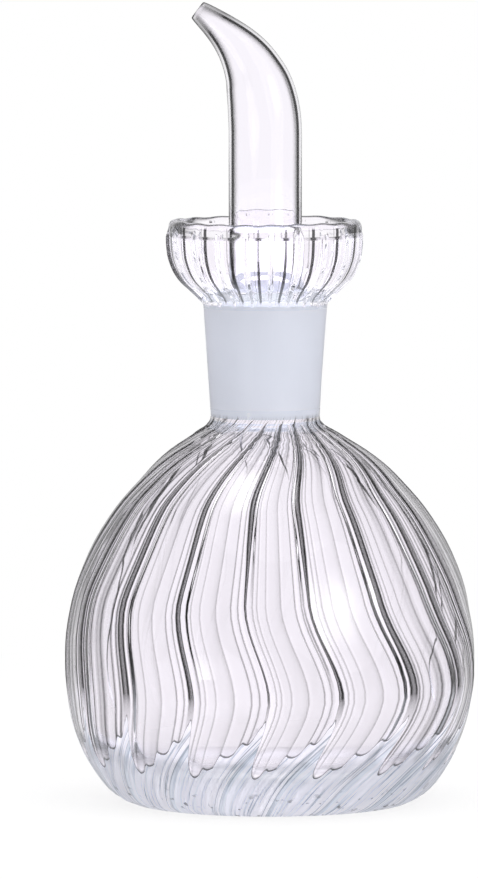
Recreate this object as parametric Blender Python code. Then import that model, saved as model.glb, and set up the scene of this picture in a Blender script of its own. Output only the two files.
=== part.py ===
"""Glass oil cruet: a swirled, ribbed flask with a ground neck and a drip collar, and a lift-out pouring stopper.

Units are metres and +Z is up. The flask stands on z = 0 with its bulb centred on the origin, and the spout
leans towards -X. The flask is blown from three components that are flame-sealed end to end (bulb, neck
socket and drip collar), and the stopper from two (ground plug and pouring spout).
"""

import math

import bmesh
import bpy
from mathutils import Vector

# Whole cruet
OVERALL_HEIGHT = 0.127  # from the foot to the highest point of the spout's tip
SEAM_GAP = 0.0003  # left at each flame-sealed seam
MERGE_DISTANCE = 0.00001

# Flask bulb
BULB_RADIUS = 0.03255  # between its ribs
BULB_HEIGHT = 0.0614  # up to the seam under the neck
EQUATOR_HEIGHT = 0.024
FOOT_RADIUS = 0.0222
FLOOR_THICKNESS = 0.006
BULB_WALL = 0.0014
NECK_SET_OVER = 0.0007  # the neck stands this far to the left of the bulb's centre, as it was blown

# Ribs, which run the whole way up the bulb and the collar
RIB_COUNT = 18
OUTER_RIB_HEIGHT = 0.00025
INNER_RIB_HEIGHT = 0.0008
FLOOR_RIB_HEIGHT = 0.0022  # where the ribs gather into the thick base
COLLAR_RIB_HEIGHT = 0.0005
BULB_FIRST_RIB = math.radians(-97)
COLLAR_FIRST_RIB = math.radians(-80)
ROOT_TURN = math.radians(25)  # the swirl under the neck
BELLY_TURN = math.radians(7)  # the swirl at the belly's S-bend
FOOT_TURN = math.radians(-17)  # the swirl at the foot
SWIRL_LEAN_SHARE = 0.6  # how much stronger the lower swirl is on the right than in the middle

# Neck socket and plug, a 1 in 10 ground taper
PLUG_RADIUS = 0.00725  # at its large end
PLUG_LENGTH = 0.020
PLUG_TAPER_SHARE = 0.05  # radius lost per length
PLUG_CLEARANCE = 0.0002
PLUG_PROUD = 0.0024  # how far the ground cone stands above the seam over the neck
PLUG_WALL = 0.0015
GROOVE_DEPTH = 0.0006
GROOVE_ANGLE = math.radians(-110)
SHOULDER_HEIGHT = 0.0014
SHOULDER_SWELL_SHARES = (0.7, 0.45)  # where its outline bends, outward and upward
NECK_LENGTH = 0.0175
NECK_ROOT_WALL = 0.0022
NECK_TOP_WALL = 0.0025

# Drip collar
COLLAR_RADIUS = 0.0153  # between its ribs
COLLAR_HEIGHT = 0.0137
COLLAR_WALL = 0.0013
RIM_THICKNESS = 0.0019

# Pouring spout
SPOUT_RADIUS = 0.0058
SPOUT_WALL = 0.001
SPOUT_STRAIGHT = 0.0228  # from the plug's shoulder to the start of the bend
SPOUT_BEND = 0.0199  # from there up to the centre of the tip
SPOUT_REACH = 0.0106  # from the neck's axis to the centre of the tip
TIP_RADIUS = 0.00165
TIP_WALL = 0.0006
TIP_LEAN = math.radians(53)  # from the vertical

# Outlines, as (outward share, upward share) between the sizes above
FOOT_OUTLINE_SHARES = ((0, 0), (0.22, 0.05), (0.54, 0.21), (0.82, 0.45), (0.96, 0.70), (1, 1))
SHOULDER_OUTLINE_SHARES = (
    (1, 0),
    (0.97, 0.16),
    (0.88, 0.36),
    (0.71, 0.565),
    (0.51, 0.72),
    (0.345, 0.82),
    (0.12, 0.92),
    (0.01, 0.97),
    (0, 1),
)
FLOOR_OUTLINE_SHARES = ((0, 0), (0.4, 0), (0.68, 0.03), (0.84, 0.1), (0.93, 0.25), (0.97, 0.45), (1, 1))
COLLAR_OUTLINE_SHARES = ((0, 0), (0.05, 0.08), (0.31, 0.19), (0.67, 0.33), (0.91, 0.52), (0.98, 0.66), (1, 0.85))
BOWL_OUTLINE_SHARES = ((0, 0.12), (0.16, 0.17), (0.44, 0.25), (0.7, 0.37), (0.88, 0.52), (0.98, 0.7), (1, 0.84))
RIM_ROUND_SHARES = ((1, 0.5), (0.85, 0.87), (0.5, 1), (0.15, 0.87), (0, 0.5))
SPOUT_TAPER_SHARES = ((0, 1), (0.1, 0.99), (0.2, 0.94), (0.3, 0.86), (0.4, 0.73), (0.5, 0.61), (0.75, 0.29), (1, 0))
SPOUT_RISE_SHARE = 0.57  # how far up the bend its lower half stays upright
SPOUT_TIP_SHARE = 0.72  # length of the tip's nearly straight end, of the reach
BEND_STATION_SHARES = (0.08, 0.2, 0.3, 0.4, 0.5, 0.6, 0.7, 0.8, 0.9, 1)

# Where the swirl's three parts and the lean towards the neck lie, of the bulb's height
ROOT_SWIRL_SHARE = 0.78
SET_OVER_SHARE = 0.84
BELLY_SWIRL_SHARE = 0.34
BELLY_SPREAD_SHARE = 0.25
FOOT_SWIRL_POWER = 1.8

# Mesh resolution
RIB_COLUMN_SHARES = (0.0, 0.14, 0.5, 0.86)  # crest, flank, middle of the panel, flank
PLAIN_SIDES = 48
SPOUT_SIDES = 32
OUTSIDE_STEPS = 2  # rings in each span of an outline
INSIDE_STEPS = 1
SHARP_ANGLE = math.radians(35)

CLEAR_TINT = (0.96, 0.95, 0.99, 1.0)
GROUND_TINT = (0.84, 0.86, 0.91, 1.0)


def clear_scene():
    for obj in list(bpy.data.objects):
        bpy.data.objects.remove(obj, do_unlink=True)


def glass(name, tint, roughness, transmission):
    material = bpy.data.materials.new(name)
    material.use_nodes = True
    shader = material.node_tree.nodes["Principled BSDF"]
    shader.inputs["Base Color"].default_value = tint
    shader.inputs["Roughness"].default_value = roughness
    shader.inputs["Metallic"].default_value = 0.0
    shader.inputs["IOR"].default_value = 1.47
    shader.inputs["Transmission Weight"].default_value = transmission
    return material


def between(low, high, share):
    return low + (high - low) * share


def smooth(share):
    """Eases a share from 0 to 1, and holds it outside them."""
    share = min(max(share, 0.0), 1.0)
    return share * share * (3 - 2 * share)


def drawn_through(points, steps):
    """A smooth curve through the points, with some steps in each span."""
    points = [Vector(point) for point in points]
    ends = [2 * points[0] - points[1], *points, 2 * points[-1] - points[-2]]
    curve = []
    for before, start, end, after in zip(ends, ends[1:], ends[2:], ends[3:]):
        leave = (end - before) / 2
        arrive = (after - start) / 2
        for step in range(steps):
            t = step / steps
            curve.append(
                start * (2 * t**3 - 3 * t**2 + 1)
                + leave * (t**3 - 2 * t**2 + t)
                + end * (3 * t**2 - 2 * t**3)
                + arrive * (t**3 - t**2)
            )
    return curve + [points[-1]]


def scaled_outline(shares, radii, heights, steps):
    """An outline of shares drawn at its real size, between two radii and two heights."""
    return drawn_through([(between(*radii, out), between(*heights, up)) for out, up in shares], steps)


def read_off(shares, place):
    """Reads a table of (place, value) shares at a place between its rows."""
    for (start, first), (end, second) in zip(shares, shares[1:]):
        if place <= end:
            return between(first, second, (place - start) / (end - start))
    return shares[-1][1]


def plug_radius(depth):
    """Radius of the ground cone at a depth below its large end."""
    return PLUG_RADIUS - PLUG_TAPER_SHARE * depth


def bore_radius(height):
    """Radius of the ground socket at a height of the cruet."""
    return plug_radius(PLUG_TOP - height) + PLUG_CLEARANCE


# Heights and radii that follow from the sizes above
NECK_TOP = BULB_HEIGHT + NECK_LENGTH
RIM_TOP = NECK_TOP + COLLAR_HEIGHT
PLUG_TOP = NECK_TOP + PLUG_PROUD
PLUG_BOTTOM = PLUG_TOP - PLUG_LENGTH
NECK_ROOT_RADIUS = bore_radius(BULB_HEIGHT) + NECK_ROOT_WALL
NECK_TOP_RADIUS = bore_radius(NECK_TOP) + NECK_TOP_WALL


def turned(name, outline, sides, closed=True):
    """Spins an outline of (radius, height, rib height) points about the vertical.

    A rib height is how far a rib's crest stands out of the surface there. Every point keeps it as the outward and
    upward way from the surface to that crest.
    """
    shape = bmesh.new()
    crest = shape.verts.layers.float_vector.new("crest")
    points = [Vector((radius, 0.0, height)) for radius, height, _ in outline]
    verts = [shape.verts.new(point) for point in points]
    for number, vert in enumerate(verts):
        before = points[number - 1 if closed or number else 0]
        after = points[(number + 1) % len(points) if closed else min(number + 1, len(points) - 1)]
        along = (after - before).normalized()
        vert[crest] = Vector((along.z, 0.0, -along.x)) * outline[number][2]
    pairs = list(zip(verts, verts[1:]))
    if closed:
        pairs.append((verts[-1], verts[0]))
    edges = [shape.edges.new(pair) for pair in pairs]
    bmesh.ops.spin(
        shape, geom=verts + edges, cent=(0, 0, 0), axis=(0, 0, 1), angle=math.tau, steps=sides, use_merge=True
    )
    bmesh.ops.remove_doubles(shape, verts=shape.verts, dist=MERGE_DISTANCE)
    bmesh.ops.recalc_face_normals(shape, faces=shape.faces)
    return finish_turning(name, shape)


def finish_turning(name, shape):
    mesh = bpy.data.meshes.new(name)
    shape.to_mesh(mesh)
    shape.free()
    obj = bpy.data.objects.new(name, mesh)
    bpy.context.scene.collection.objects.link(obj)
    return obj


def press_ribs(obj, first_rib, turn):
    """Raises the crest columns of a turned piece into ribs, and swirls every column by turn(angle, height)."""
    mesh = obj.data
    crest = mesh.attributes["crest"].data
    columns = len(RIB_COLUMN_SHARES)
    pitch = math.tau / RIB_COUNT
    for vert, reach in zip(mesh.vertices, crest):
        point = vert.co
        radius = math.hypot(point.x, point.y)
        if radius < MERGE_DISTANCE:
            continue
        column = round(math.atan2(point.y, point.x) / pitch * columns) % (RIB_COUNT * columns)
        share = RIB_COLUMN_SHARES[column % columns]
        height = point.z
        if share == 0:
            radius += reach.vector.x
            height += reach.vector.z
        angle = first_rib + (column // columns + share) * pitch
        angle += turn(angle, point.z)
        vert.co = (radius * math.cos(angle), radius * math.sin(angle), height)


def shade(obj, material):
    obj.data.materials.append(material)
    obj.data.shade_smooth()
    obj.data.set_sharp_from_angle(angle=SHARP_ANGLE)


def bulb_turn(angle, height):
    """The swirl of the bulb's ribs: gathered under the neck, an S-bend at the belly, swept back at the foot."""
    share = height / BULB_HEIGHT
    lean = SWIRL_LEAN_SHARE * math.cos(angle)
    root = max(share - ROOT_SWIRL_SHARE, 0) / (1 - ROOT_SWIRL_SHARE)
    belly = min(abs(share - BELLY_SWIRL_SHARE) / BELLY_SPREAD_SHARE, 1)
    foot = max(BELLY_SWIRL_SHARE - share, 0) / BELLY_SWIRL_SHARE
    lower = BELLY_TURN * (1 - smooth(belly)) + FOOT_TURN * foot**FOOT_SWIRL_POWER
    return ROOT_TURN * root**2 * (1 - lean) + lower * (1 + lean)


def no_turn(angle, height):
    return 0.0


def bulb_outside():
    """From the centre of the foot, out and up to the seam under the neck."""
    lower = scaled_outline(FOOT_OUTLINE_SHARES, (FOOT_RADIUS, BULB_RADIUS), (0, EQUATOR_HEIGHT), OUTSIDE_STEPS)
    radii = (NECK_ROOT_RADIUS, BULB_RADIUS)
    upper = scaled_outline(SHOULDER_OUTLINE_SHARES, radii, (EQUATOR_HEIGHT, BULB_HEIGHT), OUTSIDE_STEPS)
    skin = lower + upper[1:]
    ends = (skin[0], skin[-1])
    return [(0, 0, 0)] + [(out, up, 0 if (out, up) in map(tuple, ends) else OUTER_RIB_HEIGHT) for out, up in skin]


def bulb_inside():
    """From the seam under the neck, down to the centre of the floor."""
    radius = BULB_RADIUS - BULB_WALL
    lower = scaled_outline(FLOOR_OUTLINE_SHARES, (0, radius), (FLOOR_THICKNESS, EQUATOR_HEIGHT), INSIDE_STEPS)
    radii = (bore_radius(BULB_HEIGHT), radius)
    upper = scaled_outline(SHOULDER_OUTLINE_SHARES, radii, (EQUATOR_HEIGHT, BULB_HEIGHT), INSIDE_STEPS)
    skin = lower + upper[1:]
    heights = []
    for out, up in skin:
        gathered = 1 - smooth((up - FLOOR_THICKNESS) / (EQUATOR_HEIGHT - FLOOR_THICKNESS))
        rib = between(INNER_RIB_HEIGHT, FLOOR_RIB_HEIGHT, gathered)
        heights.append(rib * smooth(out / FOOT_RADIUS) * smooth((BULB_HEIGHT - up) / NECK_ROOT_WALL))
    return [(out, up, rib) for (out, up), rib in reversed(list(zip(skin, heights)))]


def set_neck_over(obj):
    """Leans the top of the bulb over to where the neck stands."""
    for vert in obj.data.vertices:
        share = (vert.co.z / BULB_HEIGHT - SET_OVER_SHARE) / (1 - SET_OVER_SHARE)
        vert.co.x -= NECK_SET_OVER * smooth(share)


def make_flask_bulb():
    outline = bulb_outside() + bulb_inside()
    bulb = turned("flask_bulb", outline, RIB_COUNT * len(RIB_COLUMN_SHARES), closed=False)
    press_ribs(bulb, BULB_FIRST_RIB, bulb_turn)
    set_neck_over(bulb)
    shade(bulb, glass("ribbed_flask_glass", CLEAR_TINT, 0.03, 1.0))
    return bulb


def make_neck_socket():
    """The plain tapered neck, ground inside to take the plug."""
    low = BULB_HEIGHT + SEAM_GAP
    outline = (
        (NECK_ROOT_RADIUS, 0, 0),
        (NECK_TOP_RADIUS, NECK_TOP - low, 0),
        (bore_radius(NECK_TOP), NECK_TOP - low, 0),
        (bore_radius(low), 0, 0),
    )
    neck = turned("neck_socket", outline, PLAIN_SIDES)
    neck.location = (-NECK_SET_OVER, 0, low)
    shade(neck, glass("ground_socket_glass", GROUND_TINT, 0.6, 0.7))
    return neck


def make_drip_collar():
    """The fluted bowl round the socket's mouth, which catches drips, with a fire-polished rim."""
    low = NECK_TOP + SEAM_GAP
    mouth = bore_radius(NECK_TOP)
    top = RIM_TOP - low
    outside = scaled_outline(COLLAR_OUTLINE_SHARES, (NECK_TOP_RADIUS, COLLAR_RADIUS), (0, top), OUTSIDE_STEPS)
    inside = scaled_outline(BOWL_OUTLINE_SHARES, (mouth, COLLAR_RADIUS - COLLAR_WALL), (0, top), INSIDE_STEPS)
    rim = [
        (COLLAR_RADIUS - RIM_THICKNESS * (1 - out), top - RIM_THICKNESS * (1 - up)) for out, up in RIM_ROUND_SHARES
    ]
    outline = [(out, up, COLLAR_RIB_HEIGHT * smooth(up / COLLAR_WALL)) for out, up in outside]
    outline += [(out, up, 0) for out, up in rim]
    outline += [(out, up, COLLAR_RIB_HEIGHT * smooth((out - mouth) / COLLAR_WALL)) for out, up in reversed(inside)]
    outline.append((mouth, 0, 0))
    collar = turned("drip_collar", outline, RIB_COUNT * len(RIB_COLUMN_SHARES))
    collar.location = (-NECK_SET_OVER, 0, low)
    press_ribs(collar, COLLAR_FIRST_RIB, no_turn)
    shade(collar, glass("ribbed_collar_glass", CLEAR_TINT, 0.03, 1.0))
    return collar


def cut_groove(obj):
    """Sinks the column of the plug's outside that faces the groove's angle, which lets air in and drips back."""
    step = math.tau / PLAIN_SIDES
    for vert in obj.data.vertices:
        radius = math.hypot(vert.co.x, vert.co.y)
        turn = (math.atan2(vert.co.y, vert.co.x) - GROOVE_ANGLE + math.pi) % math.tau - math.pi
        outside = radius > plug_radius(PLUG_LENGTH - vert.co.z) - MERGE_DISTANCE
        if abs(turn) <= step / 2 and outside and vert.co.z <= PLUG_LENGTH + MERGE_DISTANCE:
            vert.co.x *= (radius - GROOVE_DEPTH) / radius
            vert.co.y *= (radius - GROOVE_DEPTH) / radius


def make_ground_plug(stopper):
    """The hollow, frosted cone of the stopper, drawn in at its shoulder to carry the spout."""
    seam = PLUG_LENGTH + SHOULDER_HEIGHT
    bottom = plug_radius(PLUG_LENGTH)
    swell_out, swell_up = SHOULDER_SWELL_SHARES
    outline = (
        (bottom, 0, 0),
        (PLUG_RADIUS, PLUG_LENGTH, 0),
        (between(SPOUT_RADIUS, PLUG_RADIUS, swell_out), PLUG_LENGTH + SHOULDER_HEIGHT * swell_up, 0),
        (SPOUT_RADIUS, seam, 0),
        (SPOUT_RADIUS - SPOUT_WALL, seam, 0),
        (PLUG_RADIUS - PLUG_WALL, PLUG_LENGTH - SHOULDER_HEIGHT, 0),
        (bottom - PLUG_WALL, 0, 0),
    )
    plug = turned("ground_plug", outline, PLAIN_SIDES)
    cut_groove(plug)
    plug.parent = stopper
    shade(plug, glass("ground_plug_glass", GROUND_TINT, 0.55, 0.75))
    return plug


def spout_centre_line(low):
    """The four handles of the bend, from the top of the straight tube to the tip, seen from the front.

    The tube is drawn out so that its tip ends at the overall height.
    """
    height = OVERALL_HEIGHT - TIP_RADIUS * math.sin(TIP_LEAN) - low
    drawn_share = height / (SPOUT_STRAIGHT + SPOUT_BEND)
    tip = Vector((-SPOUT_REACH, height))
    start = Vector((0, SPOUT_STRAIGHT * drawn_share))
    rise = Vector((0, (tip - start).y * SPOUT_RISE_SHARE))
    end = Vector((math.sin(TIP_LEAN), -math.cos(TIP_LEAN))) * SPOUT_REACH * SPOUT_TIP_SHARE
    return start, start + rise, tip + end, tip


def bend_spout(obj, low):
    """Bends the straight, tapered tube along its centre line, one ring after another."""
    start, rise, lean, tip = spout_centre_line(low)
    for vert in obj.data.vertices:
        t = (vert.co.z - start.y) / (tip - start).y
        if t <= 0:
            continue
        centre = start * (1 - t) ** 3 + rise * 3 * t * (1 - t) ** 2 + lean * 3 * t**2 * (1 - t) + tip * t**3
        along = (rise - start) * (1 - t) ** 2 + (lean - rise) * 2 * t * (1 - t) + (tip - lean) * t**2
        along.normalize()
        side = Vector((along.y, -along.x)) * vert.co.x
        vert.co = (centre.x + side.x, vert.co.y, centre.y + side.y)


def make_pouring_spout(stopper):
    """The tube that pours: straight above the plug, then bent to the left and drawn down to a narrow tip."""
    low = PLUG_TOP + SHOULDER_HEIGHT + SEAM_GAP
    start, _, _, tip = spout_centre_line(low)
    outside = [(SPOUT_RADIUS, 0)]
    inside = [(SPOUT_RADIUS - SPOUT_WALL, 0)]
    for share in (0, *BEND_STATION_SHARES):
        taper = read_off(SPOUT_TAPER_SHARES, share)
        radius = between(TIP_RADIUS, SPOUT_RADIUS, taper)
        height = between(start.y, tip.y, share)
        outside.append((radius, height))
        inside.append((radius - between(TIP_WALL, SPOUT_WALL, taper), height))
    outline = [(out, up, 0) for out, up in outside + inside[::-1]]
    spout = turned("pouring_spout", outline, SPOUT_SIDES)
    bend_spout(spout, low)
    spout.parent = stopper
    spout.location = (0, 0, low - PLUG_BOTTOM)
    shade(spout, glass("spout_glass", CLEAR_TINT, 0.02, 1.0))
    return spout


def main():
    clear_scene()
    flask = make_flask_bulb()
    for piece in (make_neck_socket(), make_drip_collar()):
        piece.parent = flask
    stopper = bpy.data.objects.new("stopper", None)
    stopper.location = (-NECK_SET_OVER, 0, PLUG_BOTTOM)
    bpy.context.scene.collection.objects.link(stopper)
    make_ground_plug(stopper)
    make_pouring_spout(stopper)


main()
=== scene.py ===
"""Glass oil cruet: a blown, swirled flask with a ground neck and a fluted collar, and its pouring stopper.

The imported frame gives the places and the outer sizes. The glass is modelled round it as two pieces, the
flask and the stopper, because on the real cruet their components are melted into one another.
"""

import math
from types import SimpleNamespace

import bpy
import numpy as np
from bpy.props import FloatProperty, FloatVectorProperty, IntProperty, PointerProperty
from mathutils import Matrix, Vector


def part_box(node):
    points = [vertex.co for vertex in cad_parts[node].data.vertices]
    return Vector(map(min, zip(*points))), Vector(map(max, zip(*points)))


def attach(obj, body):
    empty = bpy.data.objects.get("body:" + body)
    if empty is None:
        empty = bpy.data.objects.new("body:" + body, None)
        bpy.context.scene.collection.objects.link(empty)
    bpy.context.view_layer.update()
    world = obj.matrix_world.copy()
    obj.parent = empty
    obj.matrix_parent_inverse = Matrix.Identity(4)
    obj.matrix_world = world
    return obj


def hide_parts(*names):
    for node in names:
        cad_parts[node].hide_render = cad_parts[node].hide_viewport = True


bl_info = {
    "name": "Glass oil cruet",
    "version": (1, 0, 0),
    "blender": (4, 5, 0),
    "location": "View3D > Sidebar > Cruet",
    "description": "Models the flask and the pouring stopper of a glass oil cruet",
    "category": "Add Mesh",
}

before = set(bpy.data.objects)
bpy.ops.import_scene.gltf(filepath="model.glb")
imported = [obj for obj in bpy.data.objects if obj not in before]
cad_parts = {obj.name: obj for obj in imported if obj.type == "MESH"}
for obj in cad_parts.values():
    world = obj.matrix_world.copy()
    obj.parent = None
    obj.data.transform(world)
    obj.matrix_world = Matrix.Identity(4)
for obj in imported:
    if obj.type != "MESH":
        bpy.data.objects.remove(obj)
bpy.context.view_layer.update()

BULB_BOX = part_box("flask_bulb")
NECK_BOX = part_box("neck_socket")
COLLAR_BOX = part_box("drip_collar")
PLUG_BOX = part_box("ground_plug")
SPOUT_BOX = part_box("pouring_spout")

# Places read off the frame
NECK_AXIS = (NECK_BOX[0].x + NECK_BOX[1].x) / 2
NECK_BASE = BULB_BOX[1].z
NECK_TOP = NECK_BOX[1].z
RIM_TOP = COLLAR_BOX[1].z
PLUG_BASE = PLUG_BOX[0].z
SPOUT_BASE = SPOUT_BOX[0].z
TIP_TOP = SPOUT_BOX[1].z

# Outlines, as (outward share, upward share) between an inner and an outer radius and two heights
FOOT_SHARES = ((0, 0), (0.22, 0.05), (0.54, 0.21), (0.82, 0.45), (0.96, 0.70), (1, 1))
SHOULDER_SHARES = (
    (0.97, 0.16), (0.88, 0.36), (0.71, 0.565), (0.51, 0.72),
    (0.345, 0.82), (0.12, 0.92), (0.01, 0.97), (0, 1),
)
FLOOR_SHARES = ((0, 0), (0.4, 0), (0.68, 0.03), (0.84, 0.1), (0.93, 0.25), (0.97, 0.45), (1, 1))
COLLAR_SHARES = ((0, 0), (0.05, 0.08), (0.31, 0.19), (0.67, 0.33), (0.91, 0.52), (0.98, 0.66), (1, 0.85))
BOWL_SHARES = ((0, 0.12), (0.16, 0.17), (0.44, 0.25), (0.7, 0.37), (0.88, 0.52), (0.98, 0.7), (1, 0.84))
RIM_SHARES = ((1, 0.5), (0.93, 0.75), (0.75, 0.93), (0.5, 1), (0.25, 0.93), (0.07, 0.75), (0, 0.5))

# Width of the bent tube between its tip and its straight part, as (share of the way to the tip, width)
TUBE_SHARES = (
    (0, 1), (0.1, 0.99), (0.2, 0.94), (0.3, 0.86),
    (0.4, 0.73), (0.5, 0.61), (0.75, 0.29), (1, 0),
)

# How far each rib of the bulb has wandered from even spacing, in degrees, from the front one to the right
RIB_WANDER = (0, -1.5, 1, 3, -2, 1, 0, 2, -1.5, 0.5, -2, 1.5, 0, -1, 2, -1.5, -0.5, 0)

# The same for the flutes of the collar
FLUTE_WANDER = (-9.3, -11.5, -13, -12, -10, -8, -6, -4, -2, 0, 1, 2, 3, 3.4, 2.9, 0.8, -2, -6.2)

# Places on the bulb, as shares of its height
WIDEST_SWIRL = 0.31
ROOT_SWIRL_START = 0.78
NECK_LEAN_START = 0.84

# How far round the ribs drift on the shoulder
SHOULDER_DRIFT = math.radians(-4)

# A rib's half width as a share of its pitch, above the thick base and in it, and where that starts to thin
RIB_WIDTH_SHARES = (0.13, 0.30)
THICK_BASE = 0.004
THICK_BASE_FADE = 0.014

# How much closer together the mesh columns stand on a rib's crest
CREST_PINCH = 1.7

# Handles of the spout's bend, as shares of its rise and of its reach
BEND_RISE_SHARE = 0.57
BEND_REACH_SHARE = 0.72

# How far the tip stays inside the frame, and the floor under the foot
CLEARANCE = 0.00002

MERGE_DISTANCE = 0.000005
SMOOTH_ANGLE = math.radians(40)
GROOVE_HALF_WIDTH = 0.0007
NECK_ROOT_WALL = 0.0022


def length_setting(name, description, default):
    return FloatProperty(name=name, description=description, default=default, unit="LENGTH")


def angle_setting(name, description, degrees):
    default = math.radians(degrees)
    return FloatProperty(name=name, description=description, default=default, unit="ROTATION")


def colour_setting(name, description, default):
    return FloatVectorProperty(name=name, description=description, default=default, subtype="COLOR")


class FlaskSettings(bpy.types.PropertyGroup):
    """Sizes of the blown flask."""

    bulb_radius: length_setting("Bulb radius", "Radius of the bulb between its ribs", 0.03255)
    foot_radius: length_setting("Foot radius", "Radius of the flat foot", 0.0222)
    equator: length_setting("Equator", "Height of the widest place", 0.024)
    wall: length_setting("Wall", "Thickness of the bulb's wall", 0.0014)
    floor: length_setting("Floor", "Thickness of the flask's floor", 0.006)
    bore_base: length_setting("Bore at its base", "Radius of the socket's narrow end", 0.00645)
    bore_top: length_setting("Bore at its mouth", "Radius of the socket's mouth", 0.00733)
    collar_wall: length_setting("Collar wall", "Thickness of the collar", 0.0013)
    rim: length_setting("Rim", "Thickness of the rounded rim", 0.0019)
    ribs: IntProperty(name="Ribs", description="Number of ribs round the flask", default=18)
    columns: IntProperty(name="Columns", description="Mesh columns in a rib and its panel", default=20)
    inner_rib: length_setting("Inner rib", "Height of a rib inside the bulb", 0.0005)
    outer_rib: length_setting("Outer rib", "Height of a rib outside the bulb", 0.0002)
    floor_rib: length_setting("Floor rib", "Height of a rib over the thick base", 0.0002)
    collar_rib: length_setting("Collar rib", "Height of a rib of the collar", 0.0005)
    rim_wave: length_setting("Rim wave", "How far the rim dips between ribs", 0.00014)
    first_rib: angle_setting("First rib", "Angle of the bulb's front rib", -97)
    first_flute: angle_setting("First flute", "Angle of the collar's front rib", -80)
    root_turn: angle_setting("Root turn", "Swirl under the neck", 25)
    belly_turn: angle_setting("Belly turn", "Swirl at the belly", 7.5)
    foot_turn: angle_setting("Foot turn", "Swirl at the foot", -4)
    swirl_lean: FloatProperty(
        name="Swirl lean", description="How much stronger the lower swirl is on the right", default=0.6
    )


class StopperSettings(bpy.types.PropertyGroup):
    """Sizes of the pouring stopper."""

    plug_radius: length_setting("Plug radius", "Radius of the cone's large end", 0.00725)
    plug_length: length_setting("Plug length", "Length of the ground cone", 0.02)
    plug_wall: length_setting("Plug wall", "Thickness of the plug", 0.0015)
    taper: FloatProperty(name="Taper", description="Radius that the cone loses per length", default=0.05)
    groove: length_setting("Groove", "Depth of the drip groove", 0.0006)
    groove_angle: angle_setting("Groove angle", "Place of the groove", -110)
    spout_radius: length_setting("Spout radius", "Radius of the tube", 0.0058)
    spout_wall: length_setting("Spout wall", "Thickness of the tube", 0.001)
    straight: length_setting("Straight", "Length of the straight tube", 0.0228)
    tip_radius: length_setting("Tip radius", "Radius of the tip", 0.00165)
    tip_wall: length_setting("Tip wall", "Thickness of the tip", 0.0006)
    tip_lean: angle_setting("Tip lean", "Lean of the tip", 53)
    sides: IntProperty(name="Sides", description="Mesh columns round the stopper", default=128)


class GlassSettings(bpy.types.PropertyGroup):
    """Colours of the glass."""

    flask_tint: colour_setting("Flask tint", "Colour of the flask", (0.985, 0.962, 1.0))
    stopper_tint: colour_setting("Stopper tint", "Colour of the spout", (0.985, 0.968, 1.0))
    ground_tint: colour_setting("Ground tint", "Colour of ground surfaces", (0.91, 0.95, 1.0))


class StageSettings(bpy.types.PropertyGroup):
    """The camera and the floor."""

    distance: length_setting("Distance", "From the camera to the cruet", 1.33)
    eye_height: length_setting("Eye height", "Height of the camera", 0.163)
    lens: FloatProperty(name="Lens", description="Focal length in millimetres", default=343.9)
    floor_radius: length_setting("Floor radius", "Radius of the pale floor", 0.25)


def between(low, high, share):
    return low + (high - low) * share


def smooth(share):
    """Eases a share from 0 to 1, and holds it outside them."""
    share = np.clip(share, 0.0, 1.0)
    return share * share * (3 - 2 * share)


def scaled(shares, radii, heights):
    """Turns shares between two radii and two heights into (radius, height) points."""
    return [(between(*radii, out), between(*heights, up)) for out, up in shares]


def deselect():
    if bpy.context.mode != "OBJECT":
        bpy.ops.object.mode_set(mode="OBJECT")
    bpy.ops.object.select_all(action="DESELECT")


def draw_outline(name, strokes, steps):
    """Draws (radius, height) points as one curve, smooth inside each stroke and cornered between them.

    Returns a mesh object of the outline's points, joined in order by edges.
    """
    deselect()
    bpy.ops.curve.primitive_bezier_curve_add(location=(0, 0, 0))
    obj = bpy.context.active_object
    obj.name = name
    curve = obj.data
    curve.resolution_u = steps
    spline = curve.splines[0]
    corners = []
    points = []
    for stroke in strokes:
        if points:
            corners.append(len(points) - 1)
            stroke = stroke[1:] if stroke[0] == points[-1] else stroke
        points += stroke
    spline.bezier_points.add(len(points) - 2)
    for knot, (radius, height) in zip(spline.bezier_points, points):
        knot.co = (radius, 0, height)
        knot.handle_left_type = knot.handle_right_type = "AUTO"
    for corner in corners:
        spline.bezier_points[corner].handle_left_type = "VECTOR"
        spline.bezier_points[corner].handle_right_type = "VECTOR"
    bpy.ops.object.convert(target="MESH")
    return bpy.context.active_object


def turn_outline(obj, columns):
    """Spins an outline round the vertical into a closed skin whose normals point out of the glass."""
    bpy.ops.object.mode_set(mode="EDIT")
    bpy.ops.mesh.select_all(action="SELECT")
    bpy.ops.mesh.spin(steps=columns, angle=math.tau, center=(0, 0, 0), axis=(0, 0, 1))
    bpy.ops.mesh.select_all(action="SELECT")
    bpy.ops.mesh.remove_doubles(threshold=MERGE_DISTANCE)
    bpy.ops.mesh.normals_make_consistent(inside=False)
    bpy.ops.object.mode_set(mode="OBJECT")
    if not obj.data.polygons:
        raise RuntimeError("the outline of " + obj.name + " was not turned into a skin")


def read_points(obj):
    points = np.empty(len(obj.data.vertices) * 3)
    obj.data.vertices.foreach_get("co", points)
    return points.reshape(-1, 3)


def write_points(obj, points):
    obj.data.vertices.foreach_set("co", points.astype(np.float32).ravel())
    obj.data.update()


def write_layer(obj, name, values):
    """Keeps a number or a vector on every point of a mesh."""
    kind, field = ("FLOAT", "value") if values.ndim == 1 else ("FLOAT_VECTOR", "vector")
    layer = obj.data.attributes.new(name, kind, "POINT")
    layer.data.foreach_set(field, values.astype(np.float32).ravel())


def mark_outside(obj, share):
    """Marks the points of an outline up to a share of it as the outside of the glass."""
    count = len(obj.data.vertices)
    write_layer(obj, "outside", np.arange(count) < share * count)


def outline_normals(points):
    """The direction that leads out of the glass, in (radius, height), at each point of an outline."""
    along = np.gradient(points, axis=0)
    along /= np.linalg.norm(along, axis=1, keepdims=True) + 1e-12
    return np.stack([along[:, 1], -along[:, 0]], axis=1)


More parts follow.
